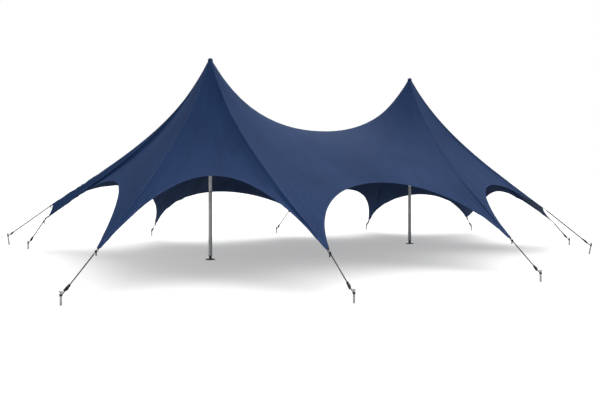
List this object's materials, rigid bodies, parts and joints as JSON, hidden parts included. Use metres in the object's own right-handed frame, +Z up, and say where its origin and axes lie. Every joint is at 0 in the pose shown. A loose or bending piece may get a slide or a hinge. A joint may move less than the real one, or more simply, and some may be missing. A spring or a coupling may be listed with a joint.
{
  "type": "double pole star tent",
  "caption": "Open-sided star tent: a taut cloth canopy on tall centre poles, drawn out into legs that webbing guys hold to steel ground stakes, with an arched way in between legs.",
  "frame": {"origin": "on the ground, at the middle of the box that holds the tent and its stakes", "axes": "+X along the line of the two poles from the left pole to the right pole, +Y to the back, +Z up"},
  "size_m": [14.8702, 11.99, 4.9],
  "materials": {
    "cloth": "coated polyester, matt",
    "aluminium": "anodised, satin",
    "steel": "galvanised, dull",
    "cap": "moulded, matt",
    "webbing": "woven polyester strap"
  },
  "bodies": {
    "root": {"canopy_front_left": "cloth", "canopy_front_right": "cloth", "canopy_right_front": "cloth", "canopy_right_end": "cloth", "canopy_right_back": "cloth", "canopy_back_right": "cloth", "canopy_back_centre": "cloth", "canopy_back_left": "cloth", "canopy_left_back": "cloth", "canopy_left_end": "cloth", "canopy_left_front": "cloth", "pole_left_foot": "steel", "pole_left_lower_tube": "aluminium", "pole_left_upper_tube": "aluminium", "pole_left_cap": "cap", "pole_right_foot": "steel", "pole_right_lower_tube": "aluminium", "pole_right_upper_tube": "aluminium", "pole_right_cap": "cap", "stake_front_left": "steel", "stake_front_centre_left": "steel", "stake_front_centre_right": "steel", "stake_right_front": "steel", "stake_right_end": "steel", "stake_back_right": "steel", "stake_back_centre_right": "steel", "stake_back_centre": "steel", "stake_back_left": "steel", "stake_left_back": "steel", "stake_left_end": "steel", "guy_front_left": "webbing", "guy_front_centre_left": "webbing", "guy_front_centre_right": "webbing", "guy_right_front": "webbing", "guy_right_end": "webbing", "guy_back_right": "webbing", "guy_back_centre_right": "webbing", "guy_back_centre": "webbing", "guy_back_left": "webbing", "guy_left_back": "webbing", "guy_left_end": "webbing"}
  },
  "joints": []
}
